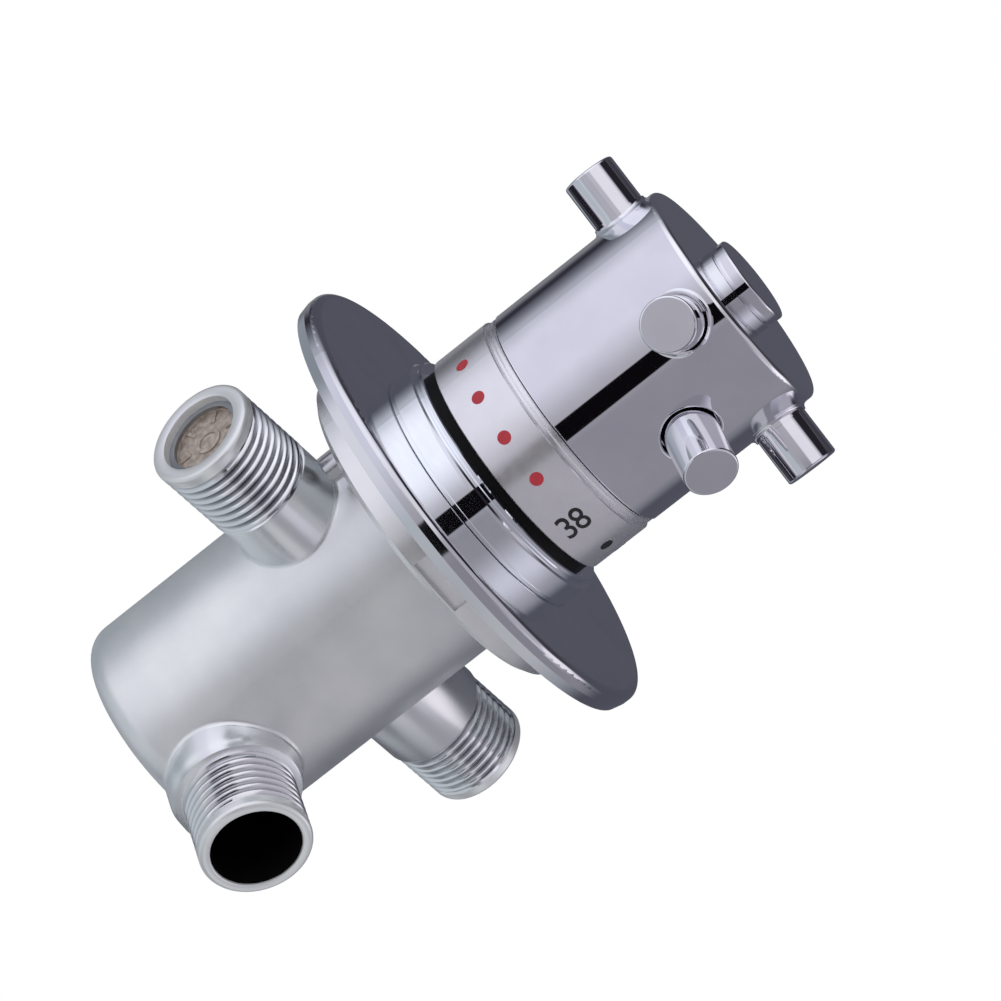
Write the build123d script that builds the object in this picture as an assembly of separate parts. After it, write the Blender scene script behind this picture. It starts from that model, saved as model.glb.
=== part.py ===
from build123d import *
import math
import os

os.makedirs("parts", exist_ok=True)

# Millimetres. The valve axis runs along Y through the origin, the wall plane is Y = 0, the handle
# points to -Y, the mixed outlet points up (+Z) and the two inlets point to +X and -X.
# Everything is drawn along a local axis of stations, measured outward from the wall plane, and
# turned at the end.

# Named clearances, each one radial
RUNNING = 0.05
SLIDING = 0.10
PRESS = 0.02
LOOSE = 0.35

# Cast body
BODY_R = 23.15
BODY_BACK = -71.8
BODY_BACK_ROUND = 5.2
STUB_R = 21.0
STUB_STEP = -0.8
STUB_FRONT = 9.0
CHAMBER_R = 15.0
CHAMBER_BACK = -49.0
OUTLET_CHAMBER_R = CHAMBER_R - 2.4
OUTLET_CHAMBER_BACK = -69.2

# Ports with G 1/2 ends, drawn at their major diameter; heights are taken from the barrel's surface
THREAD_R = 20.955 / 2
THREAD_CHAMFER = 0.7
THREAD_STEP = 0.6
SEAM_ROUND = 1.1
NECK_LEFT_R = 10.8
NECK_RIGHT_R = 10.4
RIGHT_STATION = -22.4
RIGHT_MOUTH = BODY_R + 26.25
RIGHT_THREAD_BASE = BODY_R + 9.05
LEFT_STATION = -33.3
LEFT_MOUTH = BODY_R + 25.55
LEFT_THREAD_BASE = BODY_R + 11.05
OUTLET_STATION = -60.3
OUTLET_MOUTH = BODY_R + 18.35
OUTLET_THREAD_BASE = BODY_R + 4.0
OUTLET_COLLAR_R = 12.4
OUTLET_COLLAR_TIP_R = 11.7
OUTLET_COLLAR_SHOULDER = BODY_R + 0.9
OUTLET_COLLAR_TIP = BODY_R + 3.3
OUTLET_BORE_R = 8.4
INLET_BORE_R = 7.7
INLET_SEAT_DEPTH = 17.5
INLET_PASSAGE_R = 4.4
INLET_PASSAGE_END = CHAMBER_R - 5.0

# Clamp ring behind the plate
CLAMP_R = 33.1
CLAMP_REAR_R = 31.5
CLAMP_BACK = -7.4
CLAMP_NOTCH_ANGLE = 67.2
CLAMP_NOTCH_WIDTH = 11.2
CLAMP_NOTCH_DEPTH = 1.6
SCREW_CIRCLE = 28.2
SCREW_ANGLE = 8.2
SCREW_HEAD_R = 2.5
SCREW_HEAD = 3.5
SCREW_SHANK_R = 1.5

# Wall plate
PLATE_R = 46.25
PLATE_REAR_R = PLATE_R - 0.45
PLATE_FRONT = 4.7
PLATE_SHEET = 1.6
PLATE_RIM = 2.2
PLATE_EDGE_ROUND = 1.5
GASKET_WIDTH = 5.0

# Handle
HANDLE_R = 23.15
HANDLE_BACK = 27.0
HANDLE_FACE = 64.0
HANDLE_WALL_R = HANDLE_R - 3.95
HANDLE_WEB = 4.0
HANDLE_HUB_R = 8.0
HANDLE_HUB_BACK = 34.0
HANDLE_EDGE_ROUND = 1.2
HANDLE_CLOCK = 2.7
HANDLE_RIB = 1.8
HANDLE_RIB_DEPTH = 6.2
PEG_R = 5.15
PEG_TIP = HANDLE_R + 10.25
PEG_SEAT = HANDLE_R - 1.45
PEG_SHANK_R = 2.5
PEG_SHANK_IN = HANDLE_WALL_R - 1.6
PEG_STATION = HANDLE_FACE - 8.2
PEG_BOSS_R = PEG_R + 0.3
PEG_BOSS_TIP = HANDLE_R + 0.9
PEG_BOSS_ROUND = 0.85
BUTTON_STATION = 44.7
BUTTON_TIP = HANDLE_R + 11.15
BUTTON_CROWN = 3.0
BUTTON_BORE_R = 3.4
BUTTON_FLANGE_R = 6.2
BUTTON_FLANGE_OUT = HANDLE_WALL_R - 1.6
BUTTON_FLANGE = 1.4
BUTTON_HOLE_ROUND = 0.5
CAP_R = 8.6
CAP_STEP = HANDLE_FACE + 1.3
CAP_FRONT = HANDLE_FACE + 4.0
CAP_PLUG_R = 6.0
CAP_PLUG_BACK = HANDLE_FACE - 2.6

# Collar, glide ring, dial and stop ring
COLLAR_R = 25.6
COLLAR_STEP = 9.8
COLLAR_LIP_R = COLLAR_R - 0.9
COLLAR_FRONT = 11.3
DIAL_R = HANDLE_R + 0.27
DIAL_FRONT = 24.9
DIAL_WALL = 2.4
DIAL_BORE_R = DIAL_R - 5.42
GLIDE_R = DIAL_R - 1.02
GLIDE_FRONT = 13.15
BEAD_R = HANDLE_R - 0.2
BEAD_FRONT = 26.75
LUG_R = HANDLE_WALL_R - 0.5
LUG_WALL = 1.5
LUG_WIDTH = 5.0
LUG_FRONT = 37.2

# Spindle and the nut that holds the cartridge
SPINDLE_R = 4.4
SPINDLE_THREAD_R = 5.0
SPINDLE_FRONT = HANDLE_FACE - 8.4
SPINDLE_BACK = -10.2
SPINDLE_FLANGE_R = 9.3
SPINDLE_FLANGE = (1.8, 4.2)
NUT_BACK = 1.6
NUT_FRONT = 12.4
NUT_FLATS = 2 * CHAMBER_R - 8.0
HANDLE_SCREW_R = 1.6
HANDLE_SCREW_HEAD_R = 3.3
HANDLE_SCREW_HEAD = 2.2
HANDLE_SCREW_SEAT = HANDLE_FACE - 5.0
HANDLE_SCREW_LENGTH = 12.0

# Cartridge
HOUSING_R = CHAMBER_R - RUNNING
HOUSING_BORE_R = CHAMBER_R - 2.4
HOUSING_MOUTH_R = 8.0
HOUSING_BACK = CHAMBER_BACK + 0.1
HOUSING_FRONT = 1.5
WINDOW_LENGTH = 6.4
RING_SECTION_R = 0.9
RING_STATIONS = (-11.5, -27.85, -44.6)
SHUTTLE_R = HOUSING_BORE_R - SLIDING
SHUTTLE_SPAN = (-33.2, -22.6)
SHUTTLE_HOLE_R = 1.7
CAPSULE_R = 5.6
CAPSULE_BACK = -52.0
CAPSULE_COLLAR = (-31.6, -28.4)
PIN_R = 1.6
PIN_HEAD = (-19.3, -18.0)
PIN_HEAD_R = 6.4
REGULATOR_R = HOUSING_BORE_R - SLIDING
REGULATOR_SPAN = (-20.4, -6.6)
REGULATOR_WEB = (-12.7, -11.5)
REGULATOR_CUP_R = 8.4
REGULATOR_CLIP = (-20.2, -19.4)

# Inlet inserts, each depth measured in from the mouth
CLIP_DEPTH = (1.6, 2.4)
STRAINER_DEPTH = (2.4, 3.8)
CHECK_DEPTH = (3.8, INLET_SEAT_DEPTH)
CHECK_BORE_R = INLET_BORE_R - 1.4
CHECK_MOUTH_R = INLET_BORE_R - 2.8
CHECK_SEAT_R = INLET_BORE_R - 3.9
POPPET_R = INLET_BORE_R - 3.0
POPPET_BACK = 4.4
POPPET_FRONT = 2.5


def lathe(points):
    """A solid of revolution about the local axis from (radius, station) points."""
    outline = Polyline(*[(r, 0, s) for r, s in points], close=True)
    return revolve(make_face(outline), Axis.Z, 360)


def drum(radius, s0, s1):
    """A plain cylinder on the local axis between two stations."""
    standing = (Align.CENTER, Align.CENTER, Align.MIN)
    return Pos(0, 0, min(s0, s1)) * Cylinder(radius, abs(s1 - s0), align=standing)


def tube(outer, inner, s0, s1):
    return drum(outer, s0, s1) - drum(inner, s0, s1)


def outward(angle, station):
    """The place of a radial piece: its own axis points away from the valve axis."""
    return Pos(0, 0, station) * Rot(0, 0, angle) * Rot(0, 90, 0)


def rim(shape, radius, station):
    """The circular edges of a turned piece at one radius and station."""
    found = []
    for edge in shape.edges().filter_by(GeomType.CIRCLE):
        centre = edge.arc_center
        if abs(edge.radius - radius) < 0.01 and abs(centre.Z - station) < 0.01:
            found.append(edge)
    return found


def seams_on(shape, radius):
    """The curved edges that a radial piece or hole leaves on a drum of one radius."""
    found = []
    for edge in shape.edges():
        if edge.geom_type in (GeomType.CIRCLE, GeomType.LINE):
            continue
        reach = [math.hypot((edge @ t).X, (edge @ t).Y) for t in (0.0, 0.25, 0.5, 0.75)]
        if max(abs(r - radius) for r in reach) < 0.02:
            found.append(edge)
    return found


def coil(mean_r, wire, s0, s1, turns):
    """A compression spring of square wire with its ends cut level with the two seats."""
    height = s1 - s0 - wire
    path = Helix(height / turns, height, mean_r, center=(0, 0, s0 + wire / 2))
    section = Plane(origin=path @ 0, z_dir=path % 0, x_dir=(1, 0, 0)) * Rectangle(wire, wire * 0.8)
    return sweep(section, path=path, is_frenet=True)


def save(name, shape, label=None):
    shape = Rot(90, 0, 0) * shape
    shape.label = label or name
    export_step(shape, f"parts/{name}.step")


# Valve body: closed barrel, three necks, front stub
barrel = drum(BODY_R, BODY_BACK, STUB_STEP)
barrel = fillet(rim(barrel, BODY_R, BODY_BACK), BODY_BACK_ROUND)
right = outward(0, RIGHT_STATION)
left = outward(180, LEFT_STATION)
up = outward(90, OUTLET_STATION)
collar_points = [
    (0, CHAMBER_R - 3),
    (OUTLET_COLLAR_R, CHAMBER_R - 3),
    (OUTLET_COLLAR_R, OUTLET_COLLAR_SHOULDER),
    (OUTLET_COLLAR_TIP_R, OUTLET_COLLAR_TIP),
    (0, OUTLET_COLLAR_TIP),
]
barrel += right * drum(NECK_RIGHT_R, CHAMBER_R - 3, RIGHT_THREAD_BASE - THREAD_STEP)
barrel += left * drum(NECK_LEFT_R, CHAMBER_R - 3, LEFT_THREAD_BASE - THREAD_STEP)
barrel += up * lathe(collar_points)
seams = [e for e in barrel.edges() if e.geom_type not in (GeomType.CIRCLE, GeomType.LINE)]
barrel = fillet(seams, SEAM_ROUND)
for place, root_r, base, mouth in (
    (right, NECK_RIGHT_R, RIGHT_THREAD_BASE, RIGHT_MOUTH),
    (left, NECK_LEFT_R, LEFT_THREAD_BASE, LEFT_MOUTH),
    (up, OUTLET_COLLAR_TIP_R, OUTLET_THREAD_BASE, OUTLET_MOUTH),
):
    barrel += place * lathe(
        [
            (0, base - THREAD_STEP - 0.2),
            (root_r, base - THREAD_STEP - 0.2),
            (root_r, base - THREAD_STEP),
            (THREAD_R, base),
            (THREAD_R, mouth - THREAD_CHAMFER),
            (THREAD_R - THREAD_CHAMFER, mouth),
            (0, mouth),
        ]
    )
barrel += drum(STUB_R, STUB_STEP, STUB_FRONT)
barrel -= drum(CHAMBER_R, CHAMBER_BACK, STUB_FRONT)
barrel -= drum(OUTLET_CHAMBER_R, OUTLET_CHAMBER_BACK, CHAMBER_BACK)
barrel -= up * drum(OUTLET_BORE_R, 0, OUTLET_MOUTH)
for place, mouth in ((right, RIGHT_MOUTH), (left, LEFT_MOUTH)):
    barrel -= place * drum(INLET_BORE_R, mouth - INLET_SEAT_DEPTH, mouth)
    barrel -= place * drum(INLET_PASSAGE_R, INLET_PASSAGE_END, mouth - INLET_SEAT_DEPTH)
save("valve_body", barrel)

# Clamp ring with three spanner notches and two screw holes
clamp = lathe(
    [
        (BODY_R + RUNNING, CLAMP_BACK),
        (CLAMP_REAR_R, CLAMP_BACK),
        (CLAMP_R, CLAMP_BACK + 1.1),
        (CLAMP_R, PLATE_FRONT - PLATE_SHEET),
        (STUB_R + RUNNING, PLATE_FRONT - PLATE_SHEET),
        (STUB_R + RUNNING, STUB_STEP),
        (BODY_R + RUNNING, STUB_STEP),
    ]
)
for k in range(3):
    notch = Box(CLAMP_NOTCH_DEPTH * 2, CLAMP_NOTCH_WIDTH, 2.9)
    clamp -= Rot(0, 0, CLAMP_NOTCH_ANGLE + 120 * k) * Pos(CLAMP_R, 0, CLAMP_BACK + 2.95) * notch
for k in range(2):
    clamp -= Rot(0, 0, SCREW_ANGLE + 180 * k) * Pos(SCREW_CIRCLE, 0, 0) * drum(
        SCREW_SHANK_R + RUNNING, CLAMP_BACK, PLATE_FRONT
    )
save("clamp_ring", clamp)

screws = []
for k in range(2):
    screw = drum(SCREW_HEAD_R, CLAMP_BACK - SCREW_HEAD, CLAMP_BACK)
    screw = chamfer(rim(screw, SCREW_HEAD_R, CLAMP_BACK - SCREW_HEAD), 0.4)
    screw += drum(SCREW_SHANK_R, CLAMP_BACK, 2.4)
    screw -= Pos(0, 0, CLAMP_BACK - SCREW_HEAD) * extrude(RegularPolygon(1.3, 6), 1.6)
    screws.append(Rot(0, 0, SCREW_ANGLE + 180 * k) * Pos(SCREW_CIRCLE, 0, 0) * screw)
save("plate_screws", Compound(children=screws))

# Wall plate: flat disc with a turned-back rim
plate = lathe(
    [
        (PLATE_REAR_R - PLATE_RIM, 0.0),
        (PLATE_REAR_R, 0.0),
        (PLATE_R, 2.0),
        (PLATE_R, PLATE_FRONT),
        (STUB_R + RUNNING, PLATE_FRONT),
        (STUB_R + RUNNING, PLATE_FRONT - PLATE_SHEET),
        (PLATE_REAR_R - PLATE_RIM, PLATE_FRONT - PLATE_SHEET),
    ]
)
plate = fillet(rim(plate, PLATE_R, PLATE_FRONT), PLATE_EDGE_ROUND)
save("wall_plate", plate)
gasket_r = PLATE_REAR_R - PLATE_RIM - LOOSE
save("plate_gasket", tube(gasket_r, gasket_r - GASKET_WIDTH, 0.4, PLATE_FRONT - PLATE_SHEET))

# Collar in front of the plate, with a fine groove in its lip
collar = lathe(
    [
        (STUB_R + RUNNING, PLATE_FRONT),
        (COLLAR_R - 0.45, PLATE_FRONT),
        (COLLAR_R - 0.45, PLATE_FRONT + 0.35),
        (COLLAR_R, PLATE_FRONT + 0.6),
        (COLLAR_R, COLLAR_STEP - 0.35),
        (COLLAR_R - 0.35, COLLAR_STEP),
        (COLLAR_LIP_R, COLLAR_STEP),
        (COLLAR_LIP_R, COLLAR_STEP + 0.45),
        (COLLAR_LIP_R - 0.35, COLLAR_STEP + 0.6),
        (COLLAR_LIP_R, COLLAR_STEP + 0.75),
        (COLLAR_LIP_R, COLLAR_FRONT - 0.2),
        (COLLAR_LIP_R - 0.25, COLLAR_FRONT),
        (DIAL_BORE_R, COLLAR_FRONT),
        (DIAL_BORE_R, STUB_FRONT + 0.1),
        (STUB_R + RUNNING, STUB_FRONT + 0.1),
    ]
)
save("front_collar", collar)
save("glide_ring", tube(GLIDE_R, DIAL_BORE_R, COLLAR_FRONT, GLIDE_FRONT))

dial = lathe(
    [
        (DIAL_BORE_R, GLIDE_FRONT),
        (DIAL_R - 0.2, GLIDE_FRONT),
        (DIAL_R, GLIDE_FRONT + 0.2),
        (DIAL_R, DIAL_FRONT - 0.2),
        (DIAL_R - 0.2, DIAL_FRONT),
        (DIAL_R - DIAL_WALL, DIAL_FRONT),
        (DIAL_R - DIAL_WALL, GLIDE_FRONT + 2.0),
        (DIAL_BORE_R, GLIDE_FRONT + 2.0),
    ]
)
save("dial_ring", dial)

# Stop ring with a double bead and the lug that the safety button meets
mid = (DIAL_FRONT + BEAD_FRONT) / 2
bead = lathe(
    [
        (LUG_R - LUG_WALL, DIAL_FRONT),
        (BEAD_R - 0.3, DIAL_FRONT),
        (BEAD_R, DIAL_FRONT + 0.3),
        (BEAD_R, mid - 0.2),
        (BEAD_R - 0.3, mid),
        (BEAD_R, mid + 0.2),
        (BEAD_R, BEAD_FRONT - 0.3),
        (BEAD_R - 0.3, BEAD_FRONT),
        (LUG_R - LUG_WALL, BEAD_FRONT),
    ]
)
lug = tube(LUG_R, LUG_R - LUG_WALL, BEAD_FRONT, LUG_FRONT)
sector = Rot(0, 0, 90 + HANDLE_CLOCK) * Pos(LUG_R, 0, 0) * Box(8.0, LUG_WIDTH, 3 * LUG_FRONT)
bead += lug & sector
save("stop_ring", bead)

# Handle: hollow cup with a centre hub, four flat peg seats and a hole for the button
handle = lathe(
    [
        (HANDLE_WALL_R, HANDLE_BACK),
        (HANDLE_R, HANDLE_BACK),
        (HANDLE_R, HANDLE_FACE),
        (CAP_PLUG_R + SLIDING, HANDLE_FACE),
        (CAP_PLUG_R + SLIDING, HANDLE_SCREW_SEAT),
        (HANDLE_SCREW_R + SLIDING, HANDLE_SCREW_SEAT),
        (HANDLE_SCREW_R + SLIDING, SPINDLE_FRONT + 0.4),
        (SPINDLE_R - 0.4 + RUNNING, SPINDLE_FRONT + 0.4),
        (SPINDLE_R - 0.4 + RUNNING, HANDLE_HUB_BACK),
        (HANDLE_HUB_R, HANDLE_HUB_BACK),
        (HANDLE_HUB_R, HANDLE_FACE - HANDLE_WEB),
        (HANDLE_WALL_R, HANDLE_FACE - HANDLE_WEB),
    ]
)
handle = fillet(rim(handle, HANDLE_R, HANDLE_FACE), HANDLE_EDGE_ROUND)
handle = chamfer(rim(handle, HANDLE_R, HANDLE_BACK), 0.25)
PEG_ANGLES = [HANDLE_CLOCK + 45 + 90 * k for k in range(4)]
button_place = outward(90 + HANDLE_CLOCK, BUTTON_STATION)
for angle in PEG_ANGLES:
    handle += outward(angle, PEG_STATION) * drum(PEG_BOSS_R, HANDLE_WALL_R + 0.5, PEG_BOSS_TIP)
handle = fillet(seams_on(handle, HANDLE_R), PEG_BOSS_ROUND)
handle -= button_place * drum(PEG_R + LOOSE, 10, HANDLE_R + 2)
handle = fillet(seams_on(handle, HANDLE_R), BUTTON_HOLE_ROUND)
for angle in PEG_ANGLES:
    handle -= outward(angle, PEG_STATION) * drum(PEG_R + RUNNING, PEG_SEAT, HANDLE_R + 2)
    handle -= outward(angle, PEG_STATION) * drum(PEG_SHANK_R + RUNNING, 10, HANDLE_R)
rib_middle = (HANDLE_HUB_R + HANDLE_WALL_R) / 2
rib_length = HANDLE_WALL_R - HANDLE_HUB_R + 0.8
rib_station = HANDLE_FACE - HANDLE_WEB - HANDLE_RIB_DEPTH / 2 + 0.1
for k in range(3):
    rib = Box(rib_length, HANDLE_RIB, HANDLE_RIB_DEPTH)
    handle += Rot(0, 0, 30 + HANDLE_CLOCK + 120 * k) * Pos(rib_middle, 0, rib_station) * rib
save("handle", handle)

PEG_CORNERS = ("upper_right", "upper_left", "lower_left", "lower_right")
for corner, angle in zip(PEG_CORNERS, PEG_ANGLES):
    peg = drum(PEG_R, PEG_SEAT, PEG_TIP)
    peg = fillet(rim(peg, PEG_R, PEG_TIP), 0.45)
    peg += drum(PEG_SHANK_R, PEG_SHANK_IN, PEG_SEAT)
    save(f"handle_peg_{corner}", outward(angle, PEG_STATION) * peg)

flange_in = BUTTON_FLANGE_OUT - BUTTON_FLANGE
button = drum(PEG_R, flange_in, BUTTON_TIP)
button = fillet(rim(button, PEG_R, BUTTON_TIP), 0.45)
button += drum(BUTTON_FLANGE_R, flange_in, BUTTON_FLANGE_OUT)
button -= drum(BUTTON_BORE_R, flange_in, BUTTON_TIP - BUTTON_CROWN)
save("safety_button", button_place * button)
save("button_spring", button_place * coil(2.5, 0.7, HANDLE_HUB_R + 0.05, BUTTON_TIP - BUTTON_CROWN, 7))

cap_ring = lathe(
    [
        (0, CAP_PLUG_BACK),
        (CAP_PLUG_R, CAP_PLUG_BACK),
        (CAP_PLUG_R, HANDLE_FACE),
        (CAP_R, HANDLE_FACE),
        (CAP_R, CAP_STEP - 0.3),
        (CAP_R - 0.3, CAP_STEP),
        (0, CAP_STEP),
    ]
)
save("cap_base", cap_ring)
cap_disc = drum(CAP_R, CAP_STEP, CAP_FRONT)
cap_disc = fillet(rim(cap_disc, CAP_R, CAP_FRONT), 0.5)
cap_disc = chamfer(rim(cap_disc, CAP_R, CAP_STEP), 0.3)
save("cap_disc", cap_disc)

handle_screw = drum(HANDLE_SCREW_HEAD_R, HANDLE_SCREW_SEAT, HANDLE_SCREW_SEAT + HANDLE_SCREW_HEAD)
handle_screw += drum(HANDLE_SCREW_R, HANDLE_SCREW_SEAT - HANDLE_SCREW_LENGTH, HANDLE_SCREW_SEAT)
screw_socket = extrude(RegularPolygon(1.45, 6), HANDLE_SCREW_HEAD - 0.8)
handle_screw -= Pos(0, 0, HANDLE_SCREW_SEAT + 0.8) * screw_socket
save("handle_screw", handle_screw)

# Spindle: splined nose, flange, coarse thread end drawn plain
spindle = drum(SPINDLE_R, SPINDLE_FLANGE[0], HANDLE_HUB_BACK - 1.0)
spindle += drum(SPINDLE_R - 0.4, HANDLE_HUB_BACK - 1.0, SPINDLE_FRONT)
spindle += drum(SPINDLE_FLANGE_R, *SPINDLE_FLANGE)
spindle += drum(SPINDLE_THREAD_R, SPINDLE_BACK, SPINDLE_FLANGE[0])
spindle = chamfer(rim(spindle, SPINDLE_THREAD_R, SPINDLE_BACK), 0.5)
spindle -= drum(HANDLE_SCREW_R + RUNNING, HANDLE_SCREW_SEAT - HANDLE_SCREW_LENGTH - 1.0, SPINDLE_FRONT)
save("spindle", spindle)

nut = drum(CHAMBER_R - RUNNING, NUT_BACK, STUB_FRONT)
hexagon = RegularPolygon(NUT_FLATS / 2, 6, major_radius=False)
nut += Pos(0, 0, STUB_FRONT) * extrude(hexagon, NUT_FRONT - STUB_FRONT)
nut -= drum(SPINDLE_FLANGE_R + LOOSE, NUT_BACK, SPINDLE_FLANGE[1] + 0.1)
nut -= drum(SPINDLE_R + RUNNING, NUT_BACK, NUT_FRONT)
save("cartridge_nut", nut)

# Cartridge housing: sleeve with two belts of windows, ring grooves and a guide for the regulator
housing = lathe(
    [
        (HOUSING_R, HOUSING_BACK),
        (HOUSING_R, HOUSING_FRONT),
        (SPINDLE_THREAD_R + LOOSE, HOUSING_FRONT),
        (SPINDLE_THREAD_R + LOOSE, HOUSING_FRONT - 2.4),
        (HOUSING_BORE_R, HOUSING_FRONT - 2.4),
        (HOUSING_BORE_R, HOUSING_BACK + 1.8),
        (HOUSING_MOUTH_R, HOUSING_BACK + 1.8),
        (HOUSING_MOUTH_R, HOUSING_BACK),
    ]
)
for station, turn in ((RIGHT_STATION, 0), (LEFT_STATION, 30)):
    for k in range(6):
        window = Box(4.0, 9.0, WINDOW_LENGTH)
        housing -= Rot(0, 0, turn + 60 * k) * Pos(HOUSING_R - 0.8, 0, station) * window
for station in RING_STATIONS:
    housing -= tube(CHAMBER_R, HOUSING_R - 2 * RING_SECTION_R, station - 1.1, station + 1.1)
for k in range(2):
    housing += Rot(0, 0, 180 * k) * Pos(HOUSING_BORE_R - 0.75, 0, -9.0) * Box(2.0, 2.4, 14.0)
save("cartridge_housing", housing)

rings = []
for station in RING_STATIONS:
    rings.append(Pos(0, 0, station) * Torus(HOUSING_R - RING_SECTION_R, RING_SECTION_R - PRESS))
save("sealing_rings", Compound(children=rings))

# Regulator nut: slides on two keys, carries the overload spring in its rear cup
regulator = drum(REGULATOR_R, *REGULATOR_SPAN)
regulator -= drum(SPINDLE_THREAD_R + RUNNING, REGULATOR_WEB[1], REGULATOR_SPAN[1])
regulator -= drum(REGULATOR_CUP_R, REGULATOR_SPAN[0], REGULATOR_WEB[0])
for k in range(2):
    regulator -= Rot(0, 0, 180 * k) * Pos(REGULATOR_R - 0.5, 0, -13.5) * Box(2.8, 2.6, 20.0)
regulator = chamfer(rim(regulator, REGULATOR_R, REGULATOR_SPAN[0]), 0.6)
save("regulator_nut", regulator)
save("regulator_clip", tube(REGULATOR_CUP_R - RUNNING, 5.4, *REGULATOR_CLIP))

shuttle = lathe(
    [
        (SHUTTLE_R, SHUTTLE_SPAN[0]),
        (SHUTTLE_R, SHUTTLE_SPAN[1]),
        (SHUTTLE_R - 1.5, SHUTTLE_SPAN[1]),
        (SHUTTLE_R - 1.5, CAPSULE_COLLAR[1]),
        (CAPSULE_R + RUNNING, CAPSULE_COLLAR[1]),
        (CAPSULE_R + RUNNING, CAPSULE_COLLAR[0]),
        (SHUTTLE_R - 1.5, CAPSULE_COLLAR[0]),
        (SHUTTLE_R - 1.5, SHUTTLE_SPAN[0]),
    ]
)
shuttle_hole_circle = (CAPSULE_R + SHUTTLE_R - 1.5) / 2 + 0.1
for k in range(5):
    hole = drum(SHUTTLE_HOLE_R, *SHUTTLE_SPAN)
    shuttle -= Rot(0, 0, 72 * k) * Pos(shuttle_hole_circle, 0, 0) * hole
save("mixing_shuttle", shuttle)

capsule = lathe(
    [
        (0, CAPSULE_BACK),
        (CAPSULE_R - 1.0, CAPSULE_BACK),
        (CAPSULE_R, CAPSULE_BACK + 1.0),
        (CAPSULE_R, CAPSULE_COLLAR[1]),
        (CAPSULE_R + 1.2, CAPSULE_COLLAR[1]),
        (CAPSULE_R + 1.2, CAPSULE_COLLAR[1] + 1.2),
        (3.0, CAPSULE_COLLAR[1] + 1.2),
        (3.0, CAPSULE_COLLAR[1] + 3.2),
        (PIN_R + RUNNING, CAPSULE_COLLAR[1] + 3.2),
        (PIN_R + RUNNING, CAPSULE_COLLAR[1] - 4.0),
        (0, CAPSULE_COLLAR[1] - 4.0),
    ]
)
save("wax_capsule", capsule)
save("wax_pin", drum(PIN_R, CAPSULE_COLLAR[1] - 3.9, PIN_HEAD[0]) + drum(PIN_HEAD_R, *PIN_HEAD))
save("overload_spring", coil(4.4, 0.9, PIN_HEAD[1], REGULATOR_WEB[0], 3))
save("return_spring", coil(9.2, 1.3, HOUSING_BACK + 1.8, CAPSULE_COLLAR[0], 5))


# Inlet inserts: circlip, strainer, non-return valve with poppet and spring
def inlet(side, place, mouth):
    def depth(pair):
        return mouth - pair[1], mouth - pair[0]

    clip = tube(INLET_BORE_R - RUNNING, INLET_BORE_R - 1.1, *depth(CLIP_DEPTH))
    clip -= Pos(0, INLET_BORE_R - 1, mouth - CLIP_DEPTH[1]) * Box(3.0, 5.0, 4.0)
    save(f"retaining_clip_{side}", place * clip)

    lo, hi = depth(STRAINER_DEPTH)
    strainer = tube(INLET_BORE_R - RUNNING, INLET_BORE_R - 1.2, lo, hi)
    strainer += drum(INLET_BORE_R - 0.8, lo, lo + 0.7)
    strainer += tube(2.6, 1.9, lo, lo + 1.0)
    for k in range(6):
        strainer += Rot(0, 0, 60 * k) * Pos(INLET_BORE_R - 2.3, 0, lo + 0.5) * Box(2.6, 0.7, 1.0)
    save(f"strainer_{side}", place * strainer)

    lo, hi = depth(CHECK_DEPTH)
    shell = lathe(
        [
            (INLET_BORE_R - RUNNING, lo),
            (INLET_BORE_R - RUNNING, hi),
            (CHECK_MOUTH_R, hi),
            (CHECK_MOUTH_R, hi - 1.2),
            (CHECK_SEAT_R, hi - 2.4),
            (CHECK_BORE_R, hi - 2.4),
            (CHECK_BORE_R, lo + 1.4),
            (CHECK_MOUTH_R, lo + 1.4),
            (CHECK_MOUTH_R, lo),
        ]
    )
    for k in range(3):
        shell += Rot(0, 0, 120 * k) * Pos(3.4, 0, lo + 0.7) * Box(4.0, 1.2, 1.4)
    shell += tube(2.0, 1.2 + SLIDING, lo, lo + 3.4)
    save(f"check_valve_body_{side}", place * shell)

    poppet = drum(POPPET_R, hi - POPPET_BACK, hi - POPPET_FRONT) + drum(1.2, lo + 0.4, hi - POPPET_BACK)
    poppet = chamfer(rim(poppet, POPPET_R, hi - POPPET_FRONT), 0.6)
    save(f"check_valve_poppet_{side}", place * poppet)
    save(f"check_valve_spring_{side}", place * coil(3.2, 0.7, lo + 1.4, hi - POPPET_BACK, 4))


inlet("right", right, RIGHT_MOUTH)
inlet("left", left, LEFT_MOUTH)
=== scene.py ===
import math

import bmesh
import bpy
from mathutils import Matrix, Vector


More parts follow.
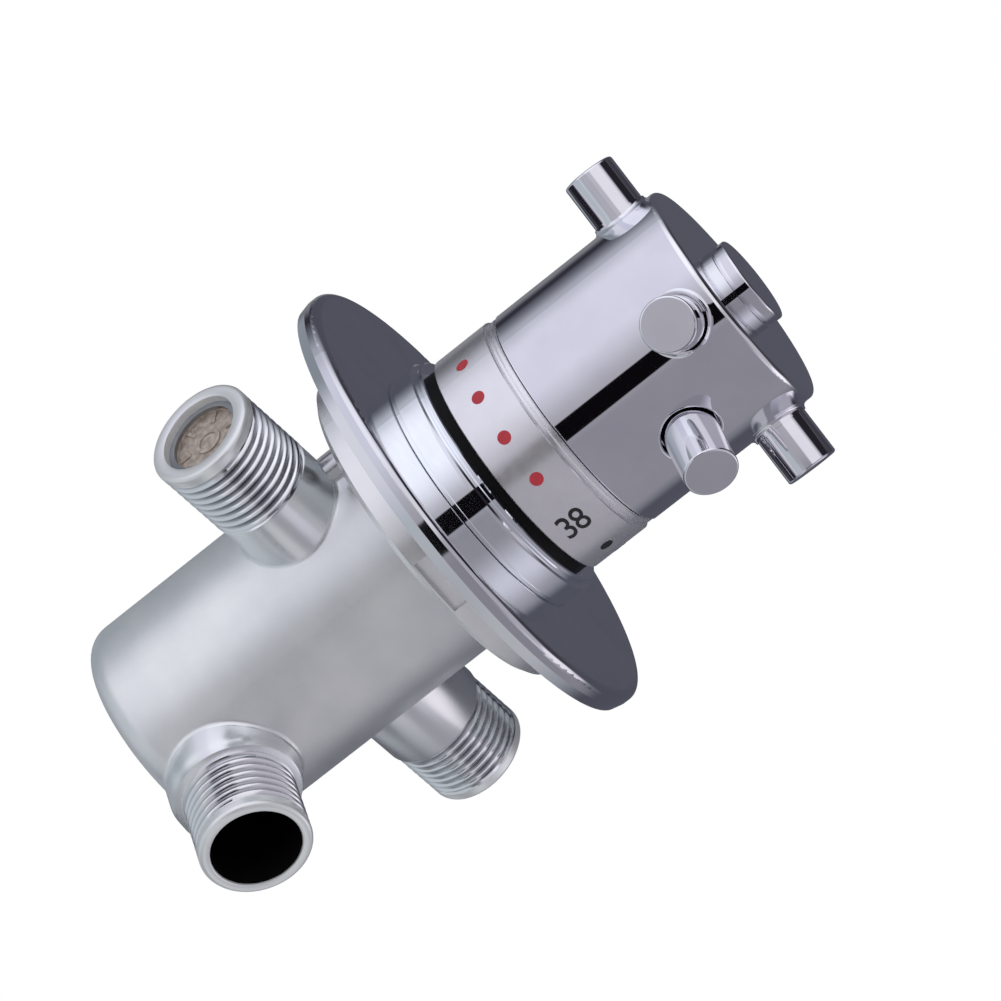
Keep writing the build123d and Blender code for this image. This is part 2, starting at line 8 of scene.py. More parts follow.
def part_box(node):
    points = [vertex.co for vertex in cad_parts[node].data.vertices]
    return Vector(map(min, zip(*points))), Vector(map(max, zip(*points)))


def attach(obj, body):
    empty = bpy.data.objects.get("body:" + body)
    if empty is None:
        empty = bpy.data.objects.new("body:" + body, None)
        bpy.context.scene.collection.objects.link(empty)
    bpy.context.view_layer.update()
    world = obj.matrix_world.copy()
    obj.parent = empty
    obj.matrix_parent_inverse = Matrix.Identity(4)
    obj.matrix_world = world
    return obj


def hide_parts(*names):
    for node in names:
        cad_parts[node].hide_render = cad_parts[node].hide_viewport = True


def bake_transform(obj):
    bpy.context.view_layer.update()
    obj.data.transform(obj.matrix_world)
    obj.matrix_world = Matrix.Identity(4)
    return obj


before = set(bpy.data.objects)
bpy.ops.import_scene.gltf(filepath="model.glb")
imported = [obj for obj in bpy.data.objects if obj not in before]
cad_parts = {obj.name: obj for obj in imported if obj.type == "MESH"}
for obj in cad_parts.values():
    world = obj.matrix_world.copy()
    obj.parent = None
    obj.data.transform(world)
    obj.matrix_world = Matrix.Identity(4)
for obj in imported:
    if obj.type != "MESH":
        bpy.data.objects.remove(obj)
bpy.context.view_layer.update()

MM = 0.001

# The valve's own directions: OUT leaves the wall along the handle, VIEW points to the photographer's side,
# SIDE completes the three.
OUT = Vector((0, -1, 0))
SIDE = Vector((math.cos(math.radians(-37.8)), 0, math.sin(math.radians(-37.8))))
VIEW = Vector((math.cos(math.radians(52.2)), 0, math.sin(math.radians(52.2))))


def linear(code):
    """An sRGB hex colour as the linear values that Blender wants."""
    values = [int(code[i:i + 2], 16) / 255 for i in (1, 3, 5)]
    return [v / 12.92 if v <= 0.04045 else ((v + 0.055) / 1.055) ** 2.4 for v in values] + [1.0]


def add(tree, kind, settings=None, inputs=None, stops=None):
    """One node with its settings, values and links. An input is a value, another node's output, or a node, whose
    first output in use is taken. Stops are a colour ramp's (place, hex colour) pairs."""
    made = tree.nodes.new(kind)
    for name, value in (settings or {}).items():
        setattr(made, name, value)
    for name, value in (inputs or {}).items():
        if isinstance(value, bpy.types.Node):
            value = next(socket for socket in value.outputs if socket.enabled)
        if isinstance(value, bpy.types.NodeSocket):
            tree.links.new(value, made.inputs[name])
        else:
            made.inputs[name].default_value = value
    if stops:
        elements = made.color_ramp.elements
        while len(elements) < len(stops):
            elements.new(0.5)
        for element, (position, code) in zip(elements, stops):
            element.position = position
            element.color = linear(code)
    return made


def new_material(name):
    made = bpy.data.materials.new(name)
    made.use_nodes = True
    made.node_tree.nodes.clear()
    return made, made.node_tree


# The part of a noise's spread that a grain uses
GRAIN_SPREAD = {"From Min": 0.3, "From Max": 0.7}


def metal(
    name, light, dark, smooth, rough, grain_mm, depth_mm, cloud_mm=9.0, stretch=(1, 1, 1), sheer=1.0, zone=None
):
    """A metal finish: base colour clouding between two tones, roughness varying with a fine grain. Sheer under 1
    is for blasted and brushed skins, whose pits scatter part of the light like matt silver. A zone is a stretch
    with another tone and roughness, by the distance in mm along an axis, or beside it."""
    made, tree = new_material(name)
    place = add(tree, "ShaderNodeTexCoord").outputs["Object"]
    cloud = add(tree, "ShaderNodeTexNoise", inputs={"Vector": place, "Scale": 1 / (cloud_mm * MM), "Detail": 3.0})
    tone = add(tree, "ShaderNodeValToRGB", inputs={"Fac": cloud}, stops=[(0.32, dark), (0.68, light)])
    drawn = add(tree, "ShaderNodeMapping", inputs={"Vector": place, "Scale": stretch})
    grain = add(tree, "ShaderNodeTexNoise", inputs={"Vector": drawn, "Scale": 1 / (grain_mm * MM), "Detail": 2.0})
    roughness = add(
        tree, "ShaderNodeMapRange", inputs={"Value": grain, **GRAIN_SPREAD, "To Min": smooth, "To Max": rough}
    )
    if zone:
        centre, axis = zone["through"] * MM, zone["axis"]
        offset = add(tree, "ShaderNodeVectorMath", {"operation": "SUBTRACT"}, {0: place, 1: centre})
        if zone["beside"]:
            across = add(tree, "ShaderNodeVectorMath", {"operation": "CROSS_PRODUCT"}, {0: offset, 1: axis})
            distance = add(tree, "ShaderNodeVectorMath", {"operation": "LENGTH"}, {0: across})
        else:
            distance = add(tree, "ShaderNodeVectorMath", {"operation": "DOT_PRODUCT"}, {0: offset, 1: axis})
        share = add(
            tree,
            "ShaderNodeMapRange",
            {"interpolation_type": "SMOOTHSTEP"},
            {"Value": distance, "From Min": zone["start"] * MM, "From Max": zone["end"] * MM},
        )
        tone = add(
            tree, "ShaderNodeMix", {"data_type": "RGBA"}, {"Factor": share, "A": tone, "B": linear(zone["tone"])}
        )
        roughness = add(
            tree, "ShaderNodeMapRange", inputs={"Value": share, "To Min": roughness, "To Max": zone["roughness"]}
        )
    bump = add(tree, "ShaderNodeBump", inputs={"Height": grain, "Distance": depth_mm * MM})
    shader = add(
        tree,
        "ShaderNodeBsdfPrincipled",
        inputs={"Base Color": tone, "Metallic": sheer, "Roughness": roughness, "Normal": bump},
    )
    add(tree, "ShaderNodeOutputMaterial", inputs={"Surface": shader})
    return made


PLASTIC_IOR = 1.49


def plastic(name, light, dark, smooth, rough, grain_mm, depth_mm, gloss=0.5):
    """A moulded or printed finish: two close tones, roughness and relief from one fine grain."""
    made, tree = new_material(name)
    place = add(tree, "ShaderNodeTexCoord").outputs["Object"]
    grain = add(tree, "ShaderNodeTexNoise", inputs={"Vector": place, "Scale": 1 / (grain_mm * MM), "Detail": 3.0})
    tone = add(tree, "ShaderNodeValToRGB", inputs={"Fac": grain}, stops=[(0.35, dark), (0.65, light)])
    roughness = add(
        tree, "ShaderNodeMapRange", inputs={"Value": grain, **GRAIN_SPREAD, "To Min": smooth, "To Max": rough}
    )
    bump = add(tree, "ShaderNodeBump", inputs={"Height": grain, "Distance": depth_mm * MM})
    shader = add(
        tree,
        "ShaderNodeBsdfPrincipled",
        inputs={
            "Base Color": tone,
            "Roughness": roughness,
            "Normal": bump,
            "IOR": PLASTIC_IOR,
            "Specular IOR Level": gloss,
        },
    )
    add(tree, "ShaderNodeOutputMaterial", inputs={"Surface": shader})
    return made


# Half-inch parallel pipe thread
PITCH = 1.814
MAJOR_R = 20.955 / 2
THREAD_DEPTH = 1.162

# Sizes of the CAD parts on which a finish changes
BARREL_R = 23.15
HANDLE_FACE = 64.0
PLATE_R = 46.25


def zone_of(start, end, tone, roughness, beside=True, through=Vector(), axis=OUT):
    """Where a finish changes: between two distances in mm, beside an axis or along it."""
    return {
        "start": start,
        "end": end,
        "tone": tone,
        "roughness": roughness,
        "beside": beside,
        "through": through,
        "axis": axis,
    }


# Bright decorative chrome plate: mirror-like, with the faint waviness that buffing leaves
chrome = metal("buffed_chrome_plate", "#EBEBF0", "#E4E4EA", 0.025, 0.045, 6.0, 0.003)
# The handle's chrome is buffed round its side, and a little less on its flat face
handle_chrome = metal(
    "buffed_chrome_with_brushed_face", "#EBEBF0", "#E4E4EA", 0.025, 0.045, 6.0, 0.003,
    zone=zone_of(HANDLE_FACE - 1.2, HANDLE_FACE - 0.7, "#F0F1F3", 0.07, beside=False),
)
# Satin chrome of the dial: plated over a fine turned surface, so reflections blur to a soft sheen
dial_chrome = metal("satin_chrome_dial", "#F4F2F6", "#ECEAEE", 0.22, 0.25, 1.6, 0.0004, sheer=0.88)
# Bead between dial and handle: the same satin, painted a little brighter as a painted highlight
bead_chrome = metal("satin_chrome_with_painted_highlight", "#FAF9FC", "#F5F4F7", 0.22, 0.24, 3.0, 0.0002, sheer=0.90)
# Bead-blasted and plated casting: reflections spread wide, faintly cloudy from the sand mould; its necks beyond
# the barrel are machined, so they shine more
casting = metal(
    "blasted_chrome_casting", "#F2F3F3", "#E4E6E8", 0.32, 0.42, 0.55, 0.010, cloud_mm=14.0, sheer=0.90,
    zone=zone_of(BARREL_R + 0.1, BARREL_R + 0.6, "#E9EBED", 0.24),
)
# Turned satin ring: fine tool marks run round the axis
turned = metal(
    "turned_satin_chrome", "#F8F8F9", "#F0F1F2", 0.22, 0.26, 0.9, 0.0006, stretch=(0.25, 3.0, 0.25), sheer=0.86
)
# The wall plate's face is finely scratched, so it mirrors the foot of its collar and blurs what stands farther
# off. Its bent rim is painted a shade darker: painted shade on the rim
plate_chrome = metal(
    "chrome_plate_with_painted_shade_on_rim", "#F0F1F3", "#E8E9EC", 0.055, 0.075, 6.0, 0.002,
    zone=zone_of(PLATE_R - 1.9, PLATE_R - 1.4, "#DCDDE2", 0.07),
)
# The collar's chrome is painted the brightest, and faintly blue: a painted sheen on the same chrome plate
collar_chrome = metal("collar_chrome_with_painted_sheen", "#FAFCFF", "#F4F7FB", 0.018, 0.028, 6.0, 0.002)
# Faced-off mouths of the three threads: a fine machined face under thin plate, pale all round
mouth_chrome = metal("machined_mouth", "#E6E8EA", "#DEE0E2", 0.28, 0.32, 2.4, 0.0005, sheer=0.68)


def thread_chrome(name, way, station, root):
    """Cut pipe thread: plated over a cut surface, bright on the crests, with painted shade darkening the roots."""
    foot = Vector((0, station, 0))
    crest = zone_of(MAJOR_R - THREAD_DEPTH, MAJOR_R - 0.2, "#F0F1F3", 0.13, through=foot, axis=way)
    return metal(f"thread_chrome_painted_root_shade_{name}", *root, 0.24, 0.32, 0.6, 0.003, cloud_mm=4.0, zone=crest)


# Unplated bore: dull brass, painted nearly black as painted shade deep inside the ends and the chamber
bore_painted_shade = metal("bore_with_painted_shade", "#262322", "#1B1918", 0.55, 0.7, 1.0, 0.02)
# Zinc-plated screw steel
steel = metal("zinc_plated_steel", "#D9DADC", "#C4C6C9", 0.16, 0.26, 0.8, 0.004)
# Drawn spring wire with a dull grey skin
spring = metal("drawn_spring_wire", "#A6A8AA", "#8E9092", 0.28, 0.4, 0.5, 0.004)
# Free-cutting brass, turned
brass = metal("turned_brass", "#D8B768", "#BF9C52", 0.22, 0.34, 0.8, 0.005, stretch=(0.3, 3.0, 0.3))
# Deep-drawn copper alloy cup
copper = metal("drawn_copper_alloy", "#C98A63", "#AE7350", 0.25, 0.38, 0.8, 0.004)
# Moulded acetal, black and slightly waxy, so it hardly shines
acetal = plastic("black_acetal", "#0C0C0D", "#070708", 0.4, 0.5, 0.6, 0.004, gloss=0.12)
# Nitrile rubber: matt black
rubber = plastic("nitrile_rubber", "#151515", "#0E0E0E", 0.6, 0.75, 0.5, 0.01)
# Closed-cell foam, with visible cells of half a millimetre
foam = plastic("closed_cell_foam", "#232323", "#101010", 0.85, 0.95, 0.6, 0.12)
# Glass-filled engineering plastic of the cartridge: pale and dry-looking
filled_plastic = plastic("glass_filled_plastic", "#DBD8CF", "#CBC8BF", 0.5, 0.62, 0.5, 0.01)
# Dark moulded plastic of the shuttle
dark_plastic = plastic("dark_engineering_plastic", "#3A3A3C", "#2C2C2E", 0.4, 0.5, 0.5, 0.008)
# Acetal strainer, brown-grey and stained by water
strainer_plastic = plastic("stained_acetal_strainer", "#B3A7A0", "#8E837C", 0.45, 0.6, 1.1, 0.03)
# Grey acetal of the non-return valves
insert_plastic = plastic("grey_acetal_insert", "#A9A29B", "#958F88", 0.45, 0.55, 0.8, 0.01)
# Pad-printed epoxy inks: a thin film, semi-gloss
red_ink = plastic("red_pad_print", "#B82A38", "#A82532", 0.35, 0.45, 0.4, 0.002)
black_ink = plastic("black_pad_print", "#1A1A1F", "#121216", 0.35, 0.45, 0.4, 0.002)

FINISH = {
    "plate_screws": steel,
    "clamp_ring": turned,
    "wall_plate": plate_chrome,
    "plate_gasket": foam,
    "front_collar": collar_chrome,
    "glide_ring": acetal,
    "dial_ring": dial_chrome,
    "stop_ring": bead_chrome,
    "handle": handle_chrome,
    "safety_button": chrome,
    "button_spring": spring,
    "cap_base": chrome,
    "cap_disc": chrome,
    "handle_screw": steel,
    "spindle": brass,
    "cartridge_nut": brass,
    "cartridge_housing": filled_plastic,
    "sealing_rings": rubber,
    "regulator_nut": brass,
    "regulator_clip": spring,
    "overload_spring": spring,
    "wax_pin": steel,
    "wax_capsule": copper,
    "mixing_shuttle": dark_plastic,
    "return_spring": spring,
    "valve_body": casting,
}
for side in ("right", "left"):
    FINISH[f"retaining_clip_{side}"] = spring
    FINISH[f"strainer_{side}"] = strainer_plastic
    FINISH[f"check_valve_body_{side}"] = insert_plastic
    FINISH[f"check_valve_poppet_{side}"] = insert_plastic
    FINISH[f"check_valve_spring_{side}"] = spring
for corner in ("upper_right", "upper_left", "lower_left", "lower_right"):
    FINISH[f"handle_peg_{corner}"] = chrome

for name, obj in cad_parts.items():
    obj.data.materials.clear()
    obj.data.materials.append(FINISH[name])


def keep(name, bm, finishes, body, sharp=32):
    """Turns a finished bmesh into a piece that rides on a body. Given anything else, such as two bodies' names
    with start and end, it leaves the piece unattached where it lies.
    """
    bmesh.ops.recalc_face_normals(bm, faces=bm.faces)
    for face in bm.faces:
        face.smooth = True
    for edge in bm.edges:
        edge.smooth = len(edge.link_faces) == 2 and edge.calc_face_angle(0) < math.radians(sharp)
    mesh = bpy.data.meshes.new(name)
    bm.to_mesh(mesh)
    bm.free()
    for finish in finishes:
        mesh.materials.append(finish)
    piece = bpy.data.objects.new(name, mesh)
    bpy.context.scene.collection.objects.link(piece)
    if isinstance(body, str):
        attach(piece, body)
    else:
        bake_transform(piece)
    return piece


# Points nearer to each other than this are one, so that the CAD's facets share their edges
WELD = 0.002 * MM


def node_copy(name):
    """The mesh of a CAD node, welded."""
    bm = bmesh.new()
    bm.from_mesh(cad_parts[name].data)
    bmesh.ops.remove_doubles(bm, verts=bm.verts, dist=WELD)
    return bm


def cut_off(bm, place, outward, dist=1e-7):
    """Takes away what lies beyond a plane, and gives the edges along the cut."""
    cut = bmesh.ops.bisect_plane(
        bm,
        geom=bm.verts[:] + bm.edges[:] + bm.faces[:],
        dist=dist,
        plane_co=place,
        plane_no=outward,
        clear_outer=True,
    )
    return [g for g in cut["geom_cut"] if isinstance(g, bmesh.types.BMEdge) and g.is_valid]


# The three threaded ends: way out, station along the wall's axis, where the cut thread begins and where its mouth
# lies, and the radius of the bore
ENDS = {
    "right_inlet": (Vector((1, 0, 0)), 22.4, 32.2, 49.4, 7.7),
    "left_inlet": (Vector((-1, 0, 0)), 33.3, 34.2, 48.7, 7.7),
    "outlet": (Vector((0, 0, 1)), 60.3, 27.15, 41.5, 8.4),
}
# Light and dark tone in the roots of each thread: painted shade in the grooves, set for each thread, darkest on
# the right inlet
PAINTED_ROOT_SHADES = {
    "right_inlet": ("#777A80", "#676A70"),
    "left_inlet": ("#A3A6AB", "#8F9297"),
    "outlet": ("#A8ABAF", "#9B9EA3"),
}
# Places of the dark bore and of the pale mouth in a piece's list of finishes
BORE, MOUTH = 1, 2
# What the dark bore's faces lie inside: the outlet's bore from its foot up, and the chamber up to its end wall
OUTLET_BORE = {"radius": 8.5, "foot": 5.0}
CHAMBER = {"radius": 15.1, "end": 69.3}


def casting_without_ends():
    """The CAD body with its three plain ends cut off where the cut threads begin."""
    bm = node_copy("valve_body")
    for way, _, base, _, _ in ENDS.values():
        rims = [e for e in cut_off(bm, way * base * MM, way) if len(e.link_faces) == 1]
        bmesh.ops.bridge_loops(bm, edges=rims)
    outlet_way, outlet_station = ENDS["outlet"][:2]
    for face in bm.faces:
        centre = face.calc_center_median() / MM
        from_outlet = (centre - Vector((0, outlet_station, 0))).cross(outlet_way).length
        from_axis = math.hypot(centre.x, centre.z)
        in_outlet = from_outlet < OUTLET_BORE["radius"] and centre.z > OUTLET_BORE["foot"]
        in_chamber = from_axis < CHAMBER["radius"] and centre.y < CHAMBER["end"]
        if in_outlet or in_chamber:
            face.material_index = BORE
    piece = keep("casting", bm, [casting, bore_painted_shade], "valve", 28)
    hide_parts("valve_body")


# One tooth of the thread: share of the pitch along, share of the depth up
TOOTH = (
    (0.0, 1.0), (0.08, 0.95), (0.25, 0.5), (0.42, 0.05),
    (0.5, 0.0), (0.58, 0.05), (0.75, 0.5), (0.92, 0.95),
)
THREAD_STEPS = 96
# Length of the plain land behind each mouth and of the thread's run-outs at both ends, and the mouth's roundings
LAND = 2.3
LAND_RUN_OUT = 0.9
FOOT_RUN_OUT = 0.5
MOUTH_ROUND = 0.9
BORE_ROUND = 0.4


def threaded_end(name, way, station, base, mouth, bore, inside):
    """A pipe thread: one tooth column swept round while it climbs by one pitch, run out at both ends, with a
    smooth rounded mouth and the bore behind it. Inside is the bore's place in the list of finishes."""
    bm = bmesh.new()
    column = []
    turns = math.ceil((mouth - base) / PITCH) + 2
    for turn in range(-1, turns):
        for along, rise in TOOTH:
            height = base + (turn + along) * PITCH
            column.append(bm.verts.new((MAJOR_R - THREAD_DEPTH * (1 - rise), 0, height)))
    edges = [bm.edges.new(pair) for pair in zip(column, column[1:])]
    bmesh.ops.spin(
        bm,
        geom=column + edges,
        cent=(0, 0, 0),
        axis=(0, 0, 1),
        dvec=(0, 0, PITCH / THREAD_STEPS),
        angle=2 * math.pi,
        steps=THREAD_STEPS,
        use_merge=False,
    )
    bmesh.ops.remove_doubles(bm, verts=bm.verts, dist=0.01)
    for height, up in ((base, -1), (mouth - MOUTH_ROUND, 1)):
        cut_off(bm, (0, 0, height), (0, 0, up), dist=1e-4)
    for v in bm.verts:
        radius = math.hypot(v.co.x, v.co.y)
        land = min(1.0, max(0.0, (LAND - (mouth - v.co.z)) / LAND_RUN_OUT + 1.0))
        root = min(1.0, max(0.0, (FOOT_RUN_OUT - (v.co.z - base)) / FOOT_RUN_OUT))
        wanted = radius + (MAJOR_R - radius) * max(land, root)
        v.co.x *= wanted / radius
        v.co.y *= wanted / radius
    rims = [e for e in bm.edges if len(e.link_faces) == 1]
    rim = [e for e in rims if e.verts[0].co.z > (base + mouth) / 2]
    foot = [e for e in rims if e.verts[0].co.z < (base + mouth) / 2]
    for face in bm.faces:
        if face.calc_center_median().z > mouth - LAND:
            face.material_index = MOUTH
    rings = []
    for degrees in (18, 36, 54, 72, 90):
        angle = math.radians(degrees)
        inward, back = MOUTH_ROUND * (1 - math.cos(angle)), MOUTH_ROUND * (1 - math.sin(angle))
        rings.append((MAJOR_R - inward, mouth - back))
    corner = 0.3 * BORE_ROUND
    rings += [(bore + BORE_ROUND, mouth), (bore + corner, mouth - corner)]
    rings += [(bore, mouth - BORE_ROUND), (bore, base)]
    for k, (radius, height) in enumerate(rings):
        grown = bmesh.ops.extrude_edge_only(bm, edges=rim)["geom"]
        for v in [g for g in grown if isinstance(g, bmesh.types.BMVert)]:
            old = math.hypot(v.co.x, v.co.y)
            v.co = (v.co.x * radius / old, v.co.y * radius / old, height)
        rim = [g for g in grown if isinstance(g, bmesh.types.BMEdge)]
        for face in [g for g in grown if isinstance(g, bmesh.types.BMFace)]:
            face.material_index = inside if k == len(rings) - 1 else MOUTH
    bmesh.ops.bridge_loops(bm, edges=rim + foot)
    turn = Vector((0, 0, 1)).rotation_difference(way).to_matrix().to_4x4()
    place = Matrix.Translation((0, station * MM, 0)) @ turn @ Matrix.Scale(MM, 4)
    bmesh.ops.transform(bm, matrix=place, verts=bm.verts)
    finishes = [thread_chrome(name, way, station, PAINTED_ROOT_SHADES[name]), bore_painted_shade, mouth_chrome]
    return keep(f"thread_{name}", bm, finishes, "valve", 40)


casting_without_ends()
for name, (way, station, base, mouth, bore) in ENDS.items():
    threaded_end(name, way, station, base, mouth, bore, BORE if name == "outlet" else MOUTH)

# Springs: the CAD springs again, cut between the parts they stand on. Each has its seats' axis, the fixed
# seat's place on it in mm, and the bodies from fixed seat to moving seat. Across several joints it is cut in
# stretches
SPRINGS = {
    "button_spring": (2, 8.05, ("handle", "safety_button")),
    "overload_spring": (1, 12.7, ("regulator", "wax_pin")),
    "return_spring": (1, 47.1, ("valve", "regulator", "wax_pin", "mixing_shuttle")),
    "check_valve_spring_right": (0, 33.3, ("valve", "poppet_right")),
    "check_valve_spring_left": (0, -32.6, ("valve", "poppet_left")),
}


def shortening_spring(name, axis, fixed, bodies):
    """The CAD spring cut in one stretch for each joint between its seats, each left where it lies."""
    low, high = [Vector(corner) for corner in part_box(name)]
    middle = (low + high) / 2
    seats = [middle.copy(), middle.copy()]
    seats[0][axis], seats[1][axis] = low[axis], high[axis]
    seats.sort(key=lambda seat: abs(seat[axis] - fixed * MM))
    way = seats[1] - seats[0]
    stretches = len(bodies) - 1
    for k in range(stretches):
        start, end = [seats[0] + way * (k + more) / stretches for more in (0, 1)]
        bm = node_copy(name)
        for place, outward, wanted in ((start, -way, k > 0), (end, way, k < stretches - 1)):
            if wanted:
                bmesh.ops.holes_fill(bm, edges=cut_off(bm, place, outward), sides=0)
        piece = keep(f"{name}_{k + 1}", bm, [spring], (bodies[k], bodies[k + 1], start, end), 40)
        if k == 0:
            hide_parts(name)


for name, (axis, fixed, bodies) in SPRINGS.items():
    shortening_spring(name, axis, fixed, bodies)

# Print on the dial: dots and one number, as thin films wrapped on the ring
DIAL_R = 23.42
INK_LIFT = 0.005
INK_FILM = 0.03
# The print is scored at this distance, so that it bends with the dial
SCORE_EVERY = 0.4
DOT_R = 1.28
DOT_STATION = 18.9
DOT_STEPS = (27.6, 50.4, 73.2, 96.0)
NUMBER_ANGLE = 90.5
NUMBER_STATION = 18.5
NUMBER_SIZE = 7.3
NUMBER_SHAPE = (0.84, 1.06, 1.0)


def thicken(bm):
    """Gives a flat print one unit of thickness."""
    top = bmesh.ops.extrude_face_region(bm, geom=bm.faces[:])["geom"]
    bmesh.ops.translate(bm, verts=[g for g in top if isinstance(g, bmesh.types.BMVert)], vec=(0, 0, 1))


def score(bm, count):
    """Cuts a flat print across its y, as many times on each side of its middle as count says."""
    for k in range(-count, count + 1):
        bmesh.ops.bisect_plane(
            bm, geom=bm.verts[:] + bm.edges[:] + bm.faces[:], plane_co=(0, SCORE_EVERY * k, 0), plane_no=(0, 1, 0)
        )


def wrap_on_dial(bm, angle, station):
    """Bends a flat print onto the dial: its x runs outward along the axis, its y back round the dial."""
    for v in bm.verts:
        turn = math.radians(angle) - v.co.y / DIAL_R
        radius = DIAL_R + INK_LIFT + v.co.z * INK_FILM
        v.co = Vector((radius * math.cos(turn), -(station + v.co.x), radius * math.sin(turn))) * MM


def dot(name, angle, finish):
    bm = bmesh.new()
    bmesh.ops.create_circle(bm, cap_ends=True, cap_tris=False, segments=40, radius=DOT_R)
    thicken(bm)
    score(bm, 2)
    wrap_on_dial(bm, angle, DOT_STATION)
    keep(name, bm, [finish], "valve", 60)


def number(name, words, angle, station):
    curve = bpy.data.curves.new(name, "FONT")
    curve.body = words
    curve.size = NUMBER_SIZE
    curve.align_x = "CENTER"
    curve.align_y = "CENTER"
    curve.offset = 0.04
    curve.space_character = 0.92
    curve.resolution_u = 6
    text = bpy.data.objects.new(name, curve)
    flat = bpy.data.meshes.new_from_object(text)
    bpy.data.objects.remove(text)
    bpy.data.curves.remove(curve)
    bm = bmesh.new()
    bm.from_mesh(flat)
    bpy.data.meshes.remove(flat)
    middle = sum((v.co for v in bm.verts), Vector()) / len(bm.verts)
    bmesh.ops.translate(bm, verts=bm.verts, vec=-middle)
    bmesh.ops.scale(bm, verts=bm.verts, vec=NUMBER_SHAPE)
    score(bm, 8)
    thicken(bm)
    wrap_on_dial(bm, angle, station)
    keep(name, bm, [black_ink], "valve", 60)


for k, step in enumerate(DOT_STEPS):
    dot(f"hot_dot_{k + 1}", NUMBER_ANGLE - step, red_ink)
    dot(f"cold_dot_{k + 1}", NUMBER_ANGLE + step, black_ink)
number("dial_number_38", "38", NUMBER_ANGLE, NUMBER_STATION)


def photo_camera():
    """The camera, fitted to the outlines of plate, handle and barrel in the photograph."""
    tilt, roll, turn = math.radians(11.75), math.radians(0.56), math.radians(37.5)
    away, aside, lift, focal_px, picture_px = 850.0, 6.52, -3.35, 4675.0, 1001
    toward = math.sin(tilt) * OUT + math.cos(tilt) * VIEW
    along = math.cos(tilt) * OUT - math.sin(tilt) * VIEW
    across = math.cos(roll) * along - math.sin(roll) * SIDE
    above = math.sin(roll) * along + math.cos(roll) * SIDE
    right = math.cos(turn) * across - math.sin(turn) * above
    up = math.sin(turn) * across + math.cos(turn) * above
    spot = (aside * across + lift * above + away * toward) * MM
    data = bpy.data.cameras.new("camera")
    data.sensor_width = 36
    data.lens = data.sensor_width * focal_px / picture_px
    data.clip_start = 0.01
    data.clip_end = 20
    camera = bpy.data.objects.new("camera", data)
    turned_to = Matrix((right, up, toward)).transposed().to_4x4()
    camera.matrix_world = Matrix.Translation(spot) @ turned_to
    bpy.context.scene.collection.objects.link(camera)
    bpy.context.scene.camera = camera


photo_camera()


def stage_object(name, bm, finish):
    mesh = bpy.data.meshes.new(name)
    bm.to_mesh(mesh)
    bm.free()
    mesh.materials.append(finish)
    made = bpy.data.objects.new(name, mesh)
    bpy.context.scene.collection.objects.link(made)
    return made


# Half the floor's width, the floor's depth under the valve and the tent's radius, all in metres, and how strongly
# the tent glows
FLOOR_HALF = 6.0
FLOOR_DEPTH = 1.7
TENT_R = 1.3
TENT_GLOW = 1.2


def pale_floor():
    """A floor that is plain white to the camera and in reflections, and takes the soft light as pale paint."""
    bm = bmesh.new()
    bmesh.ops.create_grid(bm, x_segments=2, y_segments=2, size=FLOOR_HALF)
    bmesh.ops.translate(bm, verts=bm.verts, vec=(0, 0, -FLOOR_DEPTH))
    made, tree = new_material("pale_floor")
    rays = add(tree, "ShaderNodeLightPath").outputs
    seen = rays["Is Camera Ray"]
    for other in ("Is Glossy Ray", "Is Transmission Ray"):
        seen = add(tree, "ShaderNodeMath", {"operation": "MAXIMUM"}, {0: seen, 1: rays[other]})
    paint = add(tree, "ShaderNodeBsdfDiffuse", inputs={"Color": linear("#F2F2F2")})
    glow = add(tree, "ShaderNodeEmission", inputs={"Color": linear("#FFFFFF"), "Strength": 1.0})
    both = add(tree, "ShaderNodeMixShader", inputs={0: seen, 1: paint, 2: glow})
    add(tree, "ShaderNodeOutputMaterial", inputs={"Surface": both})
    floor = stage_object("floor", bm, made)


# The wall of the tent behind its cloths, and the even colour of the soft light that matt surfaces get
TENT_WALL = "#8E9299"
SOFT_LIGHT = "#E9E9E9"
# The cloths that hang round the valve, each drawn over the ones before it: its tone, the middle of its stretch and
# half its width in degrees from VIEW toward SIDE, how soft its ends are, and where along OUT it starts and stops
CLOTHS = {
    "back_wall": ("#8E9299", 0, 180, 1, -1.1, 1.1, 0.1),
    "low_fill": ("#B0B6BC", 50, 75, 25, -1.1, -0.5, 0.08),
    "back_shade": ("#5C6065", -96, 25, 12, -1.1, -0.62, 0.06),
    "fill": ("#89878F", -62, 53, 10, -0.30, 0.95, 0.05),
    "side_fill": ("#B6B7BA", -46, 50, 18, -0.6, -0.27, 0.05),
    "fill_sheet": ("#C4C3CE", -74, 18, 20, 0.05, 0.7, 0.04),
    "front_fill": ("#AEABB4", -55, 55, 10, 0.45, 0.93, 0.08),
    "middle_sheet": ("#A4A2A9", 10, 20, 8, -0.30, 0.95, 0.05),
    "key": ("#D4D4E1", 64, 40, 20, -0.62, 0.92, 0.05),
    "key_sheet": ("#F1F2FA", 58, 33, 22, 0.03, 0.78, 0.04),
    "front_key": ("#DFDDE3", 16, 20, 8, 0.32, 0.9, 0.06),
    "side_key": ("#DDDFE4", 56, 30, 20, -0.6, -0.26, 0.05),
    "dark_wall": ("#4D4E58", -178, 61, 12, -0.62, 0.95, 0.06),
    "side_shade": ("#899097", 127, 39, 14, -0.76, -0.27, 0.05),
    "front_shade": ("#3C3A41", -177, 75, 14, 0.66, 0.95, 0.08),
    "grey_strip": ("#77777C", 163, 14, 7, -0.26, 0.02, 0.03),
    "black_seam": ("#2E2E36", 138, 5, 4, -0.26, 0.02, 0.03),
    "neck_strip": ("#F2ECF3", -98, 14, 9, 0.236, 0.62, 0.014),
    "lens_shade": ("#232027", 0, 180, 1, 0.945, 1.1, 0.02),
    "lens_gap": ("#0A080B", -3.3, 8.5, 0.6, -0.25, 0.28, 0.01),
}


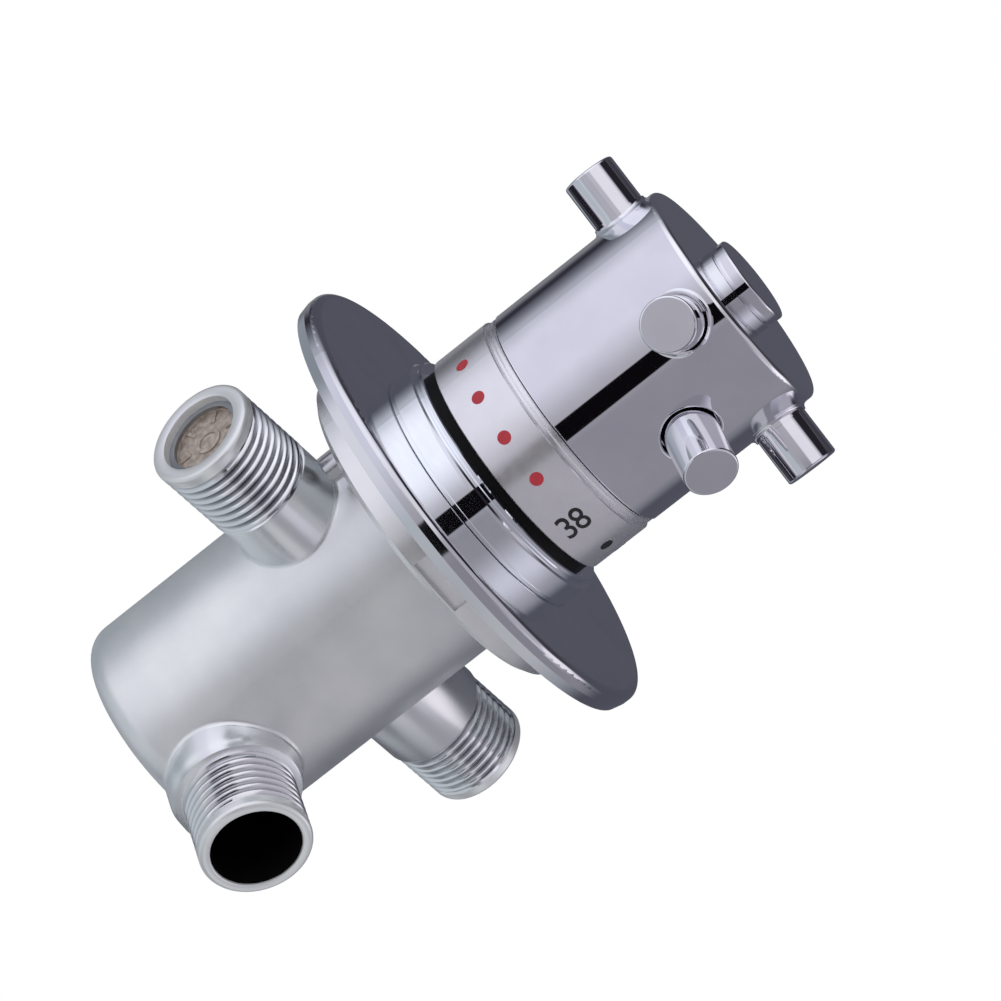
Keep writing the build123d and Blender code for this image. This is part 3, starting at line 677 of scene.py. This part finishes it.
def light_tent():
    """A closed tent of cloth round the valve, which only reflections and soft light see."""
    bm = bmesh.new()
    bmesh.ops.create_icosphere(bm, subdivisions=5, radius=TENT_R)
    made, tree = new_material("tent_cloth")
    place = add(tree, "ShaderNodeTexCoord").outputs["Object"]
    unit = add(tree, "ShaderNodeVectorMath", {"operation": "NORMALIZE"}, {0: place})
    reach, side, view = [
        add(tree, "ShaderNodeVectorMath", {"operation": "DOT_PRODUCT"}, {0: unit, 1: way})
        for way in (OUT, SIDE, VIEW)
    ]
    around = add(tree, "ShaderNodeMath", {"operation": "ARCTAN2"}, {0: side, 1: view})
    turn = add(tree, "ShaderNodeMath", {"operation": "DEGREES"}, {0: around})
    cloth = linear(TENT_WALL)
    for tone, middle, half, blur, start, stop, soft in CLOTHS.values():
        apart = add(tree, "ShaderNodeMath", {"operation": "SUBTRACT"}, {0: turn, 1: middle})
        apart = add(tree, "ShaderNodeMath", {"operation": "WRAP"}, {0: apart, 1: 180.0, 2: -180.0})
        apart = add(tree, "ShaderNodeMath", {"operation": "ABSOLUTE"}, {0: apart})
        cover = 1.0
        for value, bare, full in (
            (apart, half + blur, half - blur),
            (reach, start - soft, start + soft),
            (reach, stop + soft, stop - soft),
        ):
            share = add(
                tree,
                "ShaderNodeMapRange",
                {"interpolation_type": "SMOOTHSTEP"},
                {"Value": value, "From Min": bare, "From Max": full},
            )
            cover = add(tree, "ShaderNodeMath", {"operation": "MULTIPLY"}, {0: cover, 1: share})
        colours = {"Factor": cover, "A": cloth, "B": linear(tone)}
        cloth = add(tree, "ShaderNodeMix", {"data_type": "RGBA"}, colours)
    soft_ray = add(tree, "ShaderNodeLightPath").outputs["Is Diffuse Ray"]
    colours = {"Factor": soft_ray, "A": cloth, "B": linear(SOFT_LIGHT)}
    tint = add(tree, "ShaderNodeMix", {"data_type": "RGBA"}, colours)
    glow = add(tree, "ShaderNodeEmission", inputs={"Color": tint, "Strength": TENT_GLOW})
    add(tree, "ShaderNodeOutputMaterial", inputs={"Surface": glow})
    made.cycles.emission_sampling = "NONE"
    tent = stage_object("light_tent", bm, made)
    tent.visible_camera = False
    tent.visible_shadow = False


pale_floor()
light_tent()

world = bpy.data.worlds.new("white_surround")
bpy.context.scene.world = world
world.use_nodes = True
surround = world.node_tree.nodes["Background"].inputs
surround["Color"].default_value = linear("#FFFFFF")
surround["Strength"].default_value = 1.0

bpy.context.scene.view_settings.view_transform = "Standard"
